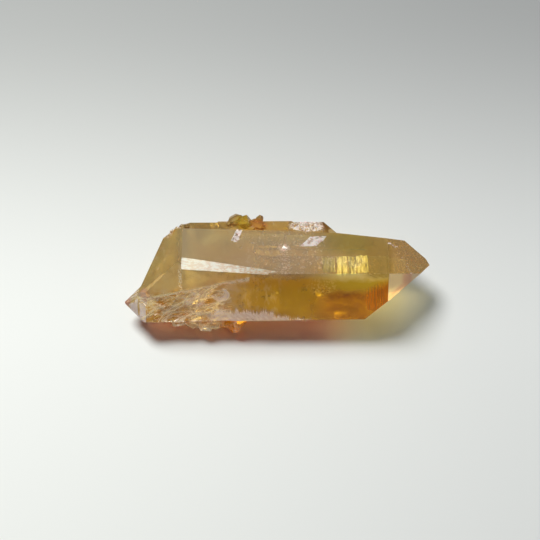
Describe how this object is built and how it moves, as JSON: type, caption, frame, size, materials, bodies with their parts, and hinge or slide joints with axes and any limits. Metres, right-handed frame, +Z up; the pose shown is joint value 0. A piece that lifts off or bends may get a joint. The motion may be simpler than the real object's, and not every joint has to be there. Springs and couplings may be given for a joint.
{
  "type": "aura quartz cluster",
  "caption": "Golden aura quartz: pointed quartz crystals grown together in parallel, lying on a flat prism face, for display as a specimen.",
  "frame": {"origin": "middle of the footprint's box, on the surface that the cluster lies on", "axes": "+X along the long crystal towards its point, +Z up, -Y towards the side that the picture shows"},
  "size_m": [0.0798, 0.0302, 0.0221],
  "materials": {
    "aura_quartz": "clear golden quartz with a thin coloured metal-vapour coating: glassy crystal faces, milky veils inside, frosted lilac patches and rough scars at the lower left"
  },
  "bodies": {
    "root": {"quartz_cluster": "aura_quartz"}
  },
  "joints": []
}
